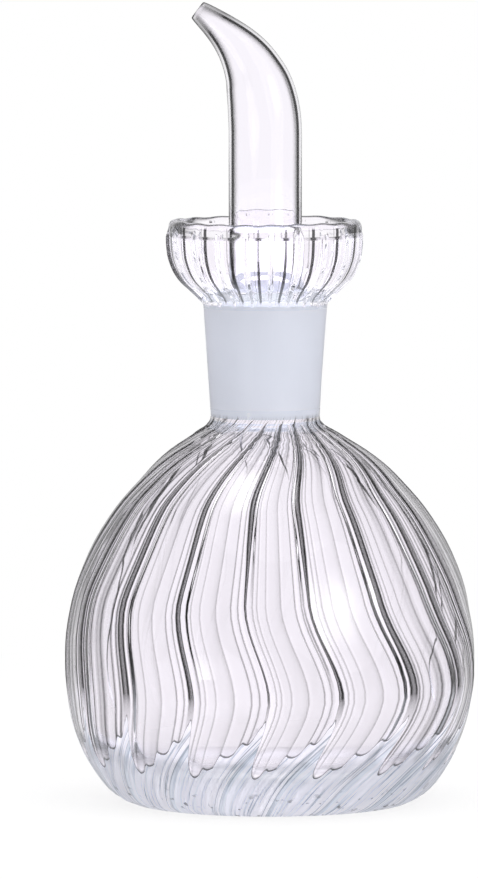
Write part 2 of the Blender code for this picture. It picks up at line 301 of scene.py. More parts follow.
def flask_crests(points, sizes):
    """How far a rib's crest stands out of the flask's outline, as a vector at each (radius, height)."""
    radius, height = points[:, 0], points[:, 1]
    inside = np.arange(len(points)) > int(np.argmax(height))
    gathered = 1 - smooth((height - sizes.floor) / (sizes.equator - sizes.floor))
    inner = between(sizes.inner_rib, sizes.floor_rib, gathered)
    inner *= smooth(radius / sizes.foot_radius)
    inner *= smooth((NECK_BASE - height) / sizes.wall / 2)
    outer = sizes.outer_rib * smooth(height / sizes.wall)
    outer *= smooth((NECK_BASE - height) / sizes.wall)
    flute = smooth((height - NECK_TOP) / sizes.wall)
    flute *= smooth((RIM_TOP - sizes.rim / 2 - height) / sizes.rim)
    flute *= sizes.collar_rib
    in_bowl = smooth((radius - sizes.bore_top - sizes.rim / 4) / sizes.collar_wall)
    crest = np.where(height < NECK_BASE, np.where(inside, inner, outer), 0)
    crest = np.where(height > NECK_TOP, flute * np.where(inside, in_bowl, 1), crest)
    normals = outline_normals(points) * crest[:, None]
    return np.stack([normals[:, 0], np.zeros(len(points)), normals[:, 1]], axis=1)


def bulb_turn(angle, height, sizes):
    """Swirl of the ribs: gathered under the neck, an S-bend at the belly, swept back at the foot."""
    share = height / NECK_BASE
    lean = sizes.swirl_lean * np.cos(angle)
    root = np.clip((share - ROOT_SWIRL_START) / (1 - ROOT_SWIRL_START), 0, 1)
    belly = np.clip(np.abs(share - WIDEST_SWIRL) / 0.25, 0, 1)
    shoulder = smooth((share - 0.5) / 0.2) * (1 - smooth((share - 0.8) / 0.15))
    foot = np.clip((WIDEST_SWIRL - share) / WIDEST_SWIRL, 0, 1)
    lower = sizes.belly_turn * (1 - smooth(belly)) + sizes.foot_turn * foot**1.2
    drift = SHOULDER_DRIFT * np.cos(angle) * shoulder
    return sizes.root_turn * root**2 * (1 - lean) + lower * (1 + lean) + drift


def rib_shape(phase, height):
    """Height of a rib across its pitch, 1 at the crest: a narrow ridge, wider in the thick base."""
    width = between(*RIB_WIDTH_SHARES, 1 - smooth((height - THICK_BASE) / THICK_BASE_FADE))
    return (0.5 + 0.5 * np.cos(np.pi * np.clip(np.abs(phase) / width, 0, 1))) ** 1.2


def wandered(wander, place):
    """How far a place between ribs has wandered, in radians, from a table in degrees for each rib."""
    table = np.radians(np.array(wander[-1:] + wander + wander[:2]))
    return np.interp(place, np.arange(-1, len(wander) + 2), table)


def press_ribs(obj, sizes):
    """Raises the flask's ribs, swirls them, and leans the bulb into the neck."""
    points = read_points(obj)
    crest = np.empty(len(points) * 3)
    obj.data.attributes["crest"].data.foreach_get("vector", crest)
    crest = crest.reshape(-1, 3)
    total = sizes.ribs * sizes.columns
    pitch = math.tau / sizes.ribs
    radius = np.hypot(points[:, 0], points[:, 1])
    height = points[:, 2]
    column = np.round(np.arctan2(points[:, 1], points[:, 0]) / math.tau * total).astype(int) % total
    even = (column % sizes.columns) / sizes.columns
    even = np.where(even > 0.5, even - 1, even)
    phase = np.sign(even) * np.abs(2 * even) ** CREST_PINCH / 2
    rib = (column // sizes.columns + (even < 0)) % sizes.ribs
    base = (rib + phase) * pitch
    low = sizes.first_rib + base + wandered(RIB_WANDER, rib + phase)
    low += bulb_turn(low, height, sizes)
    high = sizes.first_flute + base + pitch + wandered(FLUTE_WANDER, rib + phase)
    angle = between(low, high, smooth((height - NECK_BASE) / (NECK_TOP - NECK_BASE)))
    lift = rib_shape(phase, height)
    on_rim = smooth((height - RIM_TOP + 2 * sizes.rim) / sizes.rim)
    wave = (1 - np.cos(math.tau * phase)) / 2 + (1 + np.sin(3 * angle + 1)) / 2
    raised = height - sizes.rim_wave * on_rim * wave + crest[:, 2] * lift
    out = radius + crest[:, 0] * lift
    made = np.stack([out * np.cos(angle), out * np.sin(angle), raised], axis=1)
    on_axis = radius <= 1e-6
    made[on_axis] = points[on_axis]
    made[:, 0] += NECK_AXIS * smooth((made[:, 2] / NECK_BASE - NECK_LEAN_START) / (1 - NECK_LEAN_START))
    write_points(obj, made)
    inside = np.hypot(crest[:, 0], crest[:, 2]) > sizes.outer_rib * 1.1
    turn = math.tau * phase
    write_layer(obj, "rib_wave", np.stack([np.sin(turn), np.cos(turn), inside], axis=1))


def finish_piece(obj, name, body, nodes):
    """Names a modelled piece and gives it its place on the frame."""
    obj.name = name
    obj.data.name = name
    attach(obj, body)
    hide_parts(*nodes)


def new_material(name):
    material = bpy.data.materials.new(name)
    material.use_nodes = True
    tree = material.node_tree
    return material, tree, tree.nodes["Principled BSDF"]


def add_node(tree, kind, *values, **options):
    """Adds a shader node with its inputs linked or set in order, and returns it."""
    item = tree.nodes.new("ShaderNode" + kind)
    for name, value in options.items():
        setattr(item, name, value)
    for socket, value in zip(item.inputs, values):
        if isinstance(value, bpy.types.NodeSocket):
            tree.links.new(value, socket)
        elif value is not None:
            socket.default_value = value
    return item


def read_node(tree, kind, output, *values, **options):
    """Adds a shader node and returns one of its outputs."""
    return add_node(tree, kind, *values, **options).outputs[output]


def tree_of(*values):
    """The node tree that the sockets among some values are in."""
    return next(value.id_data for value in values if isinstance(value, bpy.types.NodeSocket))


def work_out(operation, *values, clamp=False):
    return read_node(tree_of(*values), "Math", 0, *values, operation=operation, use_clamp=clamp)


def both(first, second, clamp=False):
    return work_out("MULTIPLY", first, second, clamp=clamp)


def less(first, second, clamp=False):
    return work_out("SUBTRACT", first, second, clamp=clamp)


def times_plus(value, factor, offset, clamp=False):
    return work_out("MULTIPLY_ADD", value, factor, offset, clamp=clamp)


def larger(first, second):
    return work_out("MAXIMUM", first, second)


def vectors(operation, *values):
    return read_node(tree_of(*values), "VectorMath", 0, *values, operation=operation)


def kept(tree, name, output="Fac"):
    """A number or a vector that write_layer has kept on the mesh."""
    return read_node(tree, "Attribute", output, attribute_name=name)


def object_place(tree):
    return read_node(tree, "TexCoord", "Object")


def light_path(tree, output):
    return read_node(tree, "LightPath", output)


def facing(tree, normal=None):
    """0 where a normal, or else the surface, looks at the eye and 1 where it is edge on."""
    return read_node(tree, "LayerWeight", "Facing", 0.5, normal)


def noise(place, scale, detail):
    return read_node(place.id_data, "TexNoise", "Fac", place, None, scale, detail)


def above(height, level, softness):
    """1 over a level and 0 under it, with a soft change between."""
    return times_plus(height, 1 / softness, 0.5 - level / softness, clamp=True)


def below(height, level, softness):
    return less(1.0, above(height, level, softness))


def from_to(height, low, low_softness, high, high_softness):
    """1 between two levels and 0 outside them, with soft changes."""
    return both(above(height, low, low_softness), below(height, high, high_softness))


def line_mask(place, middle, half_width, sharpness):
    """1 within a half width of the middle, with soft edges."""
    off = work_out("ABSOLUTE", less(place, middle))
    return both(less(half_width, off), sharpness, clamp=True)


def ease(value, low, high, low_result=0.0, high_result=1.0):
    """Goes softly from one result to another while a value goes from low to high."""
    ends = (low, high, low_result, high_result)
    return read_node(value.id_data, "MapRange", 0, value, *ends, interpolation_type="SMOOTHSTEP")


def from_middle(tree):
    """How far a place is from the middle of its own object."""
    return read_node(tree, "VectorMath", "Value", object_place(tree), operation="LENGTH")


def add_ramp(value, stops, interpolation="LINEAR"):
    """A ramp of (place, colour or grey) stops."""
    item = add_node(value.id_data, "ValToRGB", value)
    ramp = item.color_ramp
    ramp.interpolation = interpolation
    while len(ramp.elements) < len(stops):
        ramp.elements.new(1)
    for element, (place, colour) in zip(ramp.elements, stops):
        element.position = place
        element.color = (*colour, 1) if isinstance(colour, tuple) else (colour, colour, colour, 1)
    return item.outputs["Color"]


def add_tint(first, second, share=1.0):
    """Multiplies a colour by a second one, by a share."""
    tree = tree_of(first, second, share)
    item = add_node(tree, "Mix", data_type="RGBA", blend_type="MULTIPLY")
    for place, value in ((0, share), (6, first), (7, second)):
        if isinstance(value, bpy.types.NodeSocket):
            tree.links.new(value, item.inputs[place])
        else:
            item.inputs[place].default_value = value
    return item.outputs[2]


def shade(colour, value, stops, share):
    """Multiplies a colour by a ramp of a value, by a share."""
    return add_tint(colour, add_ramp(value, stops), share)


# Clear and ground glass, and the grain of the ripples in the one and of the clouds in the other
GLASS_IOR = 1.47
GROUND_ROUGHNESS = 0.85
RIPPLE_GRAIN, CLOUD_GRAIN = 170.0, 160.0
ABSORBED_COLOUR = (0.55, 0.56, 0.8, 1)
ABSORPTION_DENSITY = 4.0


def ripple_group():
    """Shared by both clear glasses: the faint unevenness of blown glass, as a normal."""
    group = bpy.data.node_groups.get("blown_ripple")
    if group:
        return group
    group = bpy.data.node_groups.new("blown_ripple", "ShaderNodeTree")
    group.interface.new_socket("Strength", in_out="INPUT", socket_type="NodeSocketFloat")
    group.interface.new_socket("Normal", in_out="OUTPUT", socket_type="NodeSocketVector")
    entry = group.nodes.new("NodeGroupInput")
    leave = group.nodes.new("NodeGroupOutput")
    stretched = add_node(group, "Mapping", object_place(group))
    stretched.inputs["Scale"].default_value = (1, 1, 0.35)
    uneven = noise(stretched.outputs[0], RIPPLE_GRAIN, 2.0)
    bump = add_node(group, "Bump", entry.outputs["Strength"], 0.0005)
    group.links.new(uneven, bump.inputs["Height"])
    group.links.new(bump.outputs["Normal"], leave.inputs["Normal"])
    return group


def clear_glass(name, tint, strength):
    """Clear blown glass whose faces ripple a little."""
    material, tree, shader = new_material(name)
    shader.inputs["Base Color"].default_value = (*tint, 1)
    shader.inputs["Roughness"].default_value = 0.0
    shader.inputs["IOR"].default_value = GLASS_IOR
    shader.inputs["Transmission Weight"].default_value = 1.0
    ripple = add_node(tree, "Group", node_tree=ripple_group())
    ripple.inputs["Strength"].default_value = strength
    tree.links.new(ripple.outputs["Normal"], shader.inputs["Normal"])
    absorb = add_node(tree, "VolumeAbsorption", ABSORBED_COLOUR, ABSORPTION_DENSITY)
    tree.links.new(absorb.outputs["Volume"], tree.nodes["Material Output"].inputs["Volume"])
    return material, tree, shader


def fill_dark(shader, *lights, least=(0.0, 0.0, 0.0)):
    """Painted light, a glow that gives back light scattered or lost in many turns, from (light, mask)
    pairs.
    """
    total = least
    tree = shader.id_data
    for light, mask in lights:
        filled = add_node(tree, "VectorMath", light, operation="SCALE")
        tree.links.new(mask, filled.inputs["Scale"])
        total = vectors("ADD", filled.outputs[0], total)
    tree.links.new(total, shader.inputs["Emission Color"])
    shader.inputs["Emission Strength"].default_value = 1.0


def seen_outside(outside):
    """1 on the outer skin for light that goes to the eye, 0 for light that goes to a ground surface."""
    return less(outside, light_path(outside.id_data, "Diffuse Depth"), clamp=True)


def far_side(near_side):
    """The sine that goes with a cosine, or the cosine that goes with a sine."""
    return work_out("SQRT", less(1.0, both(near_side, near_side), clamp=True))


def facing_across(cosine, axis):
    """1 where a round form faces the eye and 0 at its outline, at any slant of the view to its axis."""
    slant = less(1.0, facing(axis.id_data, axis))
    across = larger(far_side(slant), 0.05)
    return work_out("DIVIDE", cosine, across, clamp=True)


# Along a ramp of 2 mm: its shares to a metre, and the share at the place that it is drawn from
RAMP_SCALE = 500.0
RAMP_START = 0.2

# Across the tube's wall on such a ramp: the dark line of painted shade along its inside
SPOUT_LINE = (
    (0, 1.0), (0.16, 1.0), (0.19, 0.3), (0.22, 0.003), (0.37, 0.001), (0.42, 0.1),
    (0.5, 0.3), (0.58, 0.55), (0.68, 0.85), (0.8, 1.0), (1, 1.0),
)

# From square on to the eye at 0 to edge on at 1: painted shade towards the outlines of the rim, the bulb
# and the collar, and the widths and depths of the painted strokes and creases
RIM_SIDES = ((0, 1.0), (0.35, 1.0), (0.5, 0.04), (0.66, 0.02), (0.8, 0.5), (1, 0.9))
BULB_SIDES = ((0, 1.0), (0.5, 1.0), (0.7, 0.98), (0.82, 0.95), (0.92, 0.87), (1, 0.78))
COLLAR_SIDES = ((0, 1.0), (0.79, 1.0), (0.85, 0.25), (0.91, 0.03), (1, 0.02))
STROKE_WIDTHS = ((0, 0.13), (0.03, 0.18), (0.1, 0.38), (0.16, 0.6), (0.36, 0.78), (0.8, 0.8), (1, 0.3))
CREASE_DEPTHS = ((0, 0.85), (0.05, 1.0))

# Painted shade and light across a rib's pitch, dark lines with paler glass beside them: 0.5 is the crest,
# and 0 and 1 are the middle of the panels on each side of it
RIB_LINES = (
    (0, 0.72), (0.03, 0.6), (0.05, 0.3), (0.07, 0.98), (0.12, 0.86), (0.255, 0.82), (0.276, 0.08),
    (0.295, 1.0), (0.33, 0.98), (0.36, 0.85), (0.378, 0.1), (0.4, 1.0), (0.58, 1.0), (0.6, 0.25),
    (0.62, 1.0), (0.652, 0.9), (0.67, 0.3), (0.69, 1.0), (0.72, 0.88), (0.79, 0.84), (0.81, 0.35),
    (0.83, 0.97), (0.87, 0.86), (0.95, 0.82), (1, 0.72),
)

# The same painted lines where the bulb turns away, broader and darker
SIDE_LINES = (
    (0, 0.6), (0.04, 0.02), (0.08, 0.3), (0.13, 1.0), (0.24, 0.8), (0.27, 0.005), (0.295, 0.005),
    (0.32, 1.0), (0.35, 0.9), (0.375, 0.01), (0.4, 0.1), (0.43, 1.0), (0.56, 1.0), (0.59, 0.01),
    (0.615, 0.05), (0.64, 1.0), (0.665, 0.01), (0.69, 0.5), (0.73, 1.0), (0.785, 0.8), (0.805, 0.005),
    (0.83, 0.5), (0.88, 1.0), (0.95, 0.3), (1, 0.6),
)

# Across the dark stroke of painted shade along a rib's crest, which fills 0.25 to 0.75
STROKE_SHADES = (
    (0, 1.0), (0.21, 1.0), (0.25, 0.3), (0.28, 0.0003), (0.36, 0.0003), (0.41, 0.03), (0.5, 0.1),
    (0.58, 0.06), (0.64, 0.0003), (0.72, 0.0003), (0.76, 0.3), (0.79, 1.0), (1, 1.0),
)

# Where each panel ends above the thick base, across a rib's pitch, from the lowest end at 0
LOBES = (
    (0, 0.17), (0.03, 0.3), (0.05, 0.36), (0.08, 0.33), (0.16, 0.31), (0.24, 0.34), (0.29, 0.54),
    (0.33, 0.51), (0.39, 0.49), (0.43, 0.56), (0.46, 0.76), (0.48, 0.74), (0.5, 0.88), (0.53, 0.7),
    (0.57, 0.3), (0.63, 0.05), (0.7, 0.0), (0.78, 0.03), (0.83, 0.17), (0.87, 0.13), (0.92, 0.127),
    (0.97, 0.15), (1, 0.17),
)
LOWEST_LOBE = 0.0066
LOBE_RANGE = 0.0115

# Above a lobe's end, on a ramp of 2 mm: its painted dark edge and the painted soft shade over it
LOBE_SHADES = (
    (0, 1.0), (0.1, 1.0), (0.13, 0.03), (0.22, 0.01), (0.26, 0.3), (0.31, 0.85), (0.5, 0.93), (1, 1.0),
)

# The painted light and shade bands that sweep through the thick base, and how many pitches they cross to a
# metre of height
BASE_BANDS = (
    (0, (0.9, 0.92, 0.97)), (0.06, (0.62, 0.69, 0.74)), (0.1, (0.92, 0.94, 1.0)),
    (0.3, (0.95, 0.97, 1.0)), (0.4, (1.0, 1.0, 1.0)), (0.44, (0.7, 0.74, 0.8)),
    (0.455, (0.06, 0.07, 0.08)), (0.47, (0.9, 0.94, 0.97)), (0.53, (1.0, 1.0, 1.0)),
    (0.545, (0.12, 0.15, 0.18)), (0.56, (0.45, 0.53, 0.59)), (0.63, (0.6, 0.69, 0.75)),
    (0.66, (0.9, 0.95, 1.0)), (0.74, (0.84, 0.9, 0.96)), (0.78, (0.58, 0.66, 0.72)),
    (0.82, (0.92, 0.95, 1.0)), (1, (0.9, 0.92, 0.97)),
)
BASE_TOP = 0.012
BASE_SWEEP = 45.0
# Painted light and shade: the streaks of the base, and which of them glow
STREAKS = ((0.34, (0.2, 0.26, 0.3)), (0.42, (0.78, 0.83, 0.88)), (0.5, (1.0, 1.0, 1.0)))
PALE_STREAKS = ((0.48, 0.45), (0.6, 1.0))
SPECKS = ((0.3, 0.05), (0.36, 0.8), (0.4, 1.0))

# From a crease of the collar at 0 to the middle of its panel at 0.5: the painted shade under the rim
CORNER_SHADES = ((0, 1.0), (0.08, 1.0), (0.16, 0.5), (0.3, 0.3), (0.5, 0.2))

# Places across a pitch: the middle of the painted dark stroke, and the fainter second painted crease of a
# flute
STROKE_MIDDLE = 0.495
SECOND_CREASE = 0.84
STROKE_REACH = 0.09

# How many grains the noises have to a metre: the crinkled seam, and the specks of the base
CRINKLE_GRAIN, SPECK_GRAIN = 800.0, 700.0

# The streaks of the base: how they lie in x, y and z and round the bulb, and their grain
STREAK_LIE = (60.0, 60.0, 80.0)
STREAK_TURN = (2.2, 2.2, 0.0)
STREAK_GRAIN = 1.6

# How soft a lobe's end is, and how far under the rim's top the bead's painted shade line lies
LOBE_SOFTNESS = 0.0004
BEAD_DEPTH = 0.0024

# How far the crinkled glass under the neck shifts the lines, as a share of a pitch
CRINKLE_SHIFT = 0.35

# Roughness of the thick base outside, of the flask's floor inside, and of the neck
BASE_CLOUD, FLOOR_CLOUD, NECK_CLOUD = 0.4, 0.3, 0.35

# Painted light, a glow given back by where: thick ends, streaks, lobe tips, the collar's cup and ground
# glass
END_LIGHT = (0.42, 0.43, 0.46)
STREAK_LIGHT = (0.18, 0.19, 0.205)
TIP_LIGHT = (0.3, 0.28, 0.31)
CUP_LIGHT = (0.17, 0.18, 0.2)
GROUND_LIGHT = (0.3, 0.31, 0.34)
LEAST_GROUND_LIGHT = (0.045, 0.055, 0.07)

# Turns in the glass after which light counts as lost, in clear glass and on the way to a ground surface
LOST_TURNS, LOST_PASSES = 5.5, 1.5

# Painted shade of the collar's creases
CREASE_SHADE = (0.012, 0.012, 0.012, 1)
# Painted shade of the spout's outline
OUTLINE_SHADE = (0.08, 0.08, 0.08, 1)


def read_skin(tree):
    """Places and masks on the flask's outer skin, by name."""
    wave = kept(tree, "rib_wave", "Vector")
    outside = kept(tree, "outside")
    place = object_place(tree)
    height = read_node(tree, "SeparateXYZ", "Z", place)
    parts = add_node(tree, "SeparateXYZ", wave)
    turn = work_out("ARCTAN2", parts.outputs["X"], parts.outputs["Y"])
    phase = times_plus(turn, 1 / math.tau, 0.5)
    by_seam = from_to(height, NECK_BASE - 0.004, 0.006, NECK_BASE + 0.002, 0.001)
    crinkle = both(less(noise(place, CRINKLE_GRAIN, 1.0), 0.5), by_seam)
    phase = times_plus(crinkle, CRINKLE_SHIFT, phase)
    outer = seen_outside(outside)
    front = less(outer, read_node(tree, "NewGeometry", "Backfacing"), clamp=True)
    on_neck = from_to(height, NECK_BASE + 0.001, 0.001, NECK_TOP, 0.001)
    lobe_end = add_ramp(phase, LOBES, "B_SPLINE")
    lobe_end = times_plus(lobe_end, LOBE_RANGE, LOWEST_LOBE)
    outwards = vectors("MULTIPLY_ADD", place, (1, 1, 0), (-NECK_AXIS, 0, 0))
    outwards = vectors("NORMALIZE", outwards)
    upright = read_node(tree, "CombineXYZ", 0, 0.0, 0.0, 1.0)
    cosine = less(1.0, facing(tree, outwards))
    return SimpleNamespace(
        wave=wave,
        phase=phase,
        outer=outer,
        place=place,
        height=height,
        facing=facing(tree),
        aside=less(1.0, facing_across(cosine, upright)),
        front_bulb=both(front, below(height, NECK_BASE + 0.0002, 0.0008)),
        front_collar=both(front, above(height, NECK_TOP + 0.0008, 0.0006)),
        over_lobes=less(height, lobe_end),
        floor=less(below(height, 0.011, 0.004), outside, clamp=True),
        neck=both(outer, on_neck),
    )


def paint_sides(skin, colour):
    """Painted shade: soft grey where the bulb turns away, and the dark outlines of the collar and its rim.
    """
    over = times_plus(above(skin.over_lobes, 0.0, 0.004), 0.75, 0.25)
    colour = shade(colour, skin.facing, BULB_SIDES, both(skin.front_bulb, over))
    under_rim = both(skin.front_collar, below(skin.height, RIM_TOP - 0.0022, 0.0004))
    colour = shade(colour, skin.aside, COLLAR_SIDES, under_rim)
    on_rim = both(above(skin.height, RIM_TOP - 0.002, 0.0003), skin.outer)
    return shade(colour, skin.facing, RIM_SIDES, on_rim)


def paint_ribs(skin, colour):
    """Painted shade and light: fine lines with paler glass beside them, and one dark stroke along each rib
    of the bulb, broader towards the sides.
    """
    on_panel = both(skin.front_bulb, above(skin.over_lobes, 0.0, LOBE_SOFTNESS))
    colour = shade(colour, skin.phase, RIB_LINES, on_panel)
    sides = ease(skin.facing, 0.15, 0.5)
    colour = shade(colour, skin.phase, SIDE_LINES, both(on_panel, sides))
    width = both(add_ramp(skin.facing, STROKE_WIDTHS), STROKE_REACH)
    across = work_out("DIVIDE", less(skin.phase, STROKE_MIDDLE), width)
    across = times_plus(across, 0.25, 0.5)
    over_base = both(on_panel, above(skin.height, 0.0165, 0.006))
    return shade(colour, across, STROKE_SHADES, over_base)


def paint_collar(skin, colour):
    """Painted shade: dark creases between the flutes of the collar, and dark lines where they meet the
    rim.
    """
    crease = work_out("PINGPONG", skin.phase, 0.5)
    width = times_plus(add_ramp(skin.facing, STROKE_WIDTHS), 0.04, 0.045)
    depth = add_ramp(skin.facing, CREASE_DEPTHS)
    flute = both(line_mask(crease, 0.0, width, 60.0), depth)
    second = both(line_mask(skin.phase, SECOND_CREASE, 0.03, 60.0), 0.6)
    bead = line_mask(skin.height, RIM_TOP - BEAD_DEPTH, 0.00035, 6000.0)
    bead = both(bead, add_ramp(crease, CORNER_SHADES))
    flute = larger(larger(flute, second), bead)
    flute = both(flute, below(skin.height, RIM_TOP - 0.0008, 0.0004))
    return add_tint(colour, CREASE_SHADE, both(flute, skin.front_collar))


def paint_base(skin, colour):
    """Painted shade and light: dark edges of the lobes, and the pale swept bands and streaks of the thick
    base under them.

    Returns the colour, the cloudiness and the mask of the pale streaks.
    """
    edge = times_plus(skin.over_lobes, RAMP_SCALE, RAMP_START)
    colour = shade(colour, edge, LOBE_SHADES, skin.front_bulb)
    in_base = both(skin.front_bulb, below(skin.over_lobes, 0.0, LOBE_SOFTNESS))
    sweep = both(less(skin.height, BASE_TOP), BASE_SWEEP)
    band = work_out("FRACT", less(work_out("ADD", skin.phase, 2.0), sweep))
    colour = shade(colour, band, BASE_BANDS, in_base)
    swept = (skin.wave, None, None, both(sweep, math.tau))
    swept = read_node(sweep.id_data, "VectorRotate", 0, *swept, rotation_type="Z_AXIS")
    swept = vectors("MULTIPLY", swept, STREAK_TURN)
    streaked = vectors("ADD", vectors("MULTIPLY", skin.place, STREAK_LIE), swept)
    streak = noise(streaked, STREAK_GRAIN, 5.0)
    colour = shade(colour, streak, STREAKS, in_base)
    speck = noise(skin.place, SPECK_GRAIN, 2.0)
    colour = shade(colour, speck, SPECKS, both(in_base, below(skin.height, 0.004, 0.003)))
    cloud = larger(both(in_base, BASE_CLOUD), both(skin.floor, FLOOR_CLOUD))
    cloud = larger(cloud, both(skin.neck, NECK_CLOUD))
    return colour, cloud, both(in_base, add_ramp(streak, PALE_STREAKS))


def flask_glass(tint):
    """Clear glass with painted shade, a dark stroke and fine lines along each rib, and the base painted
    paler with bands and a glow.
    """
    material, tree, shader = clear_glass("blown_flask_glass", tint, 0.05)
    skin = read_skin(tree)
    colour = paint_sides(skin, (*tint, 1))
    colour = paint_ribs(skin, colour)
    colour = paint_collar(skin, colour)
    colour, cloud, streaks = paint_base(skin, colour)
    tree.links.new(cloud, shader.inputs["Roughness"])
    tree.links.new(colour, shader.inputs["Base Color"])
    # Painted light: a glow where light is lost in the thick base and the collar, on the pale streaks, at
    # the lobe tips and in the collar's cup
    deep = work_out("GREATER_THAN", light_path(tree, "Ray Depth"), LOST_TURNS)
    in_collar = above(skin.height, NECK_TOP, 0.0006)
    ends = work_out("ADD", below(skin.height, 0.018, 0.004), in_collar)
    tips = above(skin.over_lobes, LOBE_SOFTNESS / 2, LOBE_SOFTNESS)
    tips = both(tips, below(skin.height, 0.009, 0.002))
    cup = both(skin.front_collar, below(skin.height, NECK_TOP + 0.0035, 0.003))
    fill_dark(
        shader,
        (END_LIGHT, both(deep, ends)),
        (STREAK_LIGHT, streaks),
        (TIP_LIGHT, both(skin.front_bulb, tips)),
        (CUP_LIGHT, cup),
    )
    return material


def spout_glass(tint, wide, narrow):
    """Clear glass with a dark line of painted shade inside each side of the tube, and a painted dark
    outline, as the eye sees it.
    """
    material, tree, shader = clear_glass("spout_glass", tint, 0.02)
    cosine = less(1.0, facing(tree))
    axis = kept(tree, "tube_axis", "Vector")
    axis = read_node(tree, "VectorTransform", 0, axis, convert_from="OBJECT", convert_to="WORLD")
    offset = far_side(facing_across(cosine, axis))
    radius = kept(tree, "tube_radius")
    deep = both(radius, less(1.0, offset))
    tip = read_node(tree, "MapRange", 0, radius, narrow, wide, 1.0, 0.0)
    wall = times_plus(tip, 0.0001, 0.00044)
    place = times_plus(less(deep, wall), RAMP_SCALE, RAMP_START)
    outer = seen_outside(kept(tree, "outside"))
    skin = both(outer, above(radius, narrow + 0.0001, 0.0001))
    off_tip = above(radius, narrow + 0.0004, 0.0008)
    off_tip = times_plus(off_tip, 0.35, 0.65)
    colour = shade((*tint, 1), place, SPOUT_LINE, both(skin, off_tip))
    outline = both(line_mask(deep, 0.0, 0.00012, 12000.0), skin)
    outline = both(outline, times_plus(tip, 0.75, 0.15))
    tree.links.new(add_tint(colour, OUTLINE_SHADE, outline), shader.inputs["Base Color"])
    return material


def ground_glass(name, tint):
    """Frosted ground surface, faintly clouded, with a painted glow of light."""
    material, tree, shader = new_material(name)
    shader.inputs["Roughness"].default_value = GROUND_ROUGHNESS
    shader.inputs["IOR"].default_value = GLASS_IOR
    cloudy = noise(object_place(tree), CLOUD_GRAIN, 5.0)
    dull = tuple(0.95 * value for value in tint)
    tree.links.new(add_ramp(cloudy, ((0.3, dull), (0.7, tuple(tint)))), shader.inputs["Base Color"])
    # Painted light: a faint glow all over, and a stronger one where the light has passed the glass more
    # than once
    lost = work_out("GREATER_THAN", light_path(tree, "Transmission Depth"), LOST_PASSES)
    fill_dark(shader, (GROUND_LIGHT, lost), least=LEAST_GROUND_LIGHT)
    return material


def frost_faces(obj, material, chosen):
    """Gives the ground material to the faces whose centres are chosen."""
    obj.data.materials.append(material)
    centres = np.empty(len(obj.data.polygons) * 3)
    obj.data.polygons.foreach_get("center", centres)
    centres = centres.reshape(-1, 3)
    radius = np.hypot(centres[:, 0] - NECK_AXIS, centres[:, 1])
    slots = chosen(radius, centres[:, 2]).astype(np.int32)
    if not slots.any():
        raise RuntimeError("no face of " + obj.name + " is ground")
    obj.data.polygons.foreach_set("material_index", slots)
    obj.data.update()


class CRUET_OT_flask(bpy.types.Operator):
    """Model the flask: bulb, ground neck and drip collar in one skin of glass"""

    bl_idname = "cruet.flask"
    bl_label = "Flask"

    def execute(self, context):
        sizes = context.scene.cruet_flask
        glass = context.scene.cruet_glass
        obj = draw_outline("cruet_flask", self.outline(sizes), 4)
        points = read_points(obj)[:, [0, 2]]
        write_layer(obj, "crest", flask_crests(points, sizes))
        on_rim = np.nonzero(points[:, 1] > RIM_TOP - sizes.rim * 0.6)[0]
        mark_outside(obj, on_rim[-1] / len(points))
        turn_outline(obj, sizes.ribs * sizes.columns)
        press_ribs(obj, sizes)
        obj.data.materials.append(flask_glass(glass.flask_tint))
        bore_radius = (sizes.bore_top + sizes.bore_base) / 2 + 0.0006

        def in_bore(radius, height):
            in_neck = (height > NECK_BASE - 0.0002) & (height < NECK_TOP + 0.0006)
            return (radius < bore_radius) & in_neck

        frost_faces(obj, ground_glass("ground_socket_glass", glass.ground_tint), in_bore)
        bpy.ops.object.shade_smooth_by_angle(angle=SMOOTH_ANGLE)
        nodes = ("flask_bulb", "neck_socket", "drip_collar")
        finish_piece(obj, "flask_glass", "flask", nodes)
        return {"FINISHED"}

    @staticmethod
    def outline(sizes):
        """The flask's outline in strokes, from the foot up outside and back down inside to the floor."""
        bulb, equator, rim = sizes.bulb_radius, sizes.equator, sizes.rim
        root = sizes.bore_base + NECK_ROOT_WALL
        neck_base = (NECK_BOX[1].x - NECK_BOX[0].x) / 2
        collar = (COLLAR_BOX[1].y - COLLAR_BOX[0].y) / 2 - sizes.collar_rib / 2
        inner = bulb - sizes.wall
        over_neck = (NECK_TOP, RIM_TOP)
        bulb_out = scaled(FOOT_SHARES, (sizes.foot_radius, bulb), (0, equator))
        bulb_out += scaled(SHOULDER_SHARES, (root, bulb), (equator, NECK_BASE))
        collar_out = scaled(COLLAR_SHARES, (neck_base, collar), over_neck)
        lip = [(collar - rim * (1 - out), RIM_TOP - rim * (1 - up)) for out, up in RIM_SHARES]
        bowl = scaled(BOWL_SHARES, (sizes.bore_top, collar - sizes.collar_wall), over_neck)
        inner_bulb = scaled(FLOOR_SHARES, (0, inner), (sizes.floor, equator))
        inner_bulb += scaled(SHOULDER_SHARES, (sizes.bore_base, inner), (equator, NECK_BASE))
        foot = [(0, 0), (sizes.foot_radius * 0.5, 0), (sizes.foot_radius, 0)]
        neck = [bulb_out[-1], collar_out[0]]
        bore = [(sizes.bore_top, bowl[0][1]), (sizes.bore_top, NECK_TOP)]
        bore += [(sizes.bore_base, NECK_BASE)]
        return foot, bulb_out, neck, collar_out + lip + bowl[::-1], bore, inner_bulb[::-1]


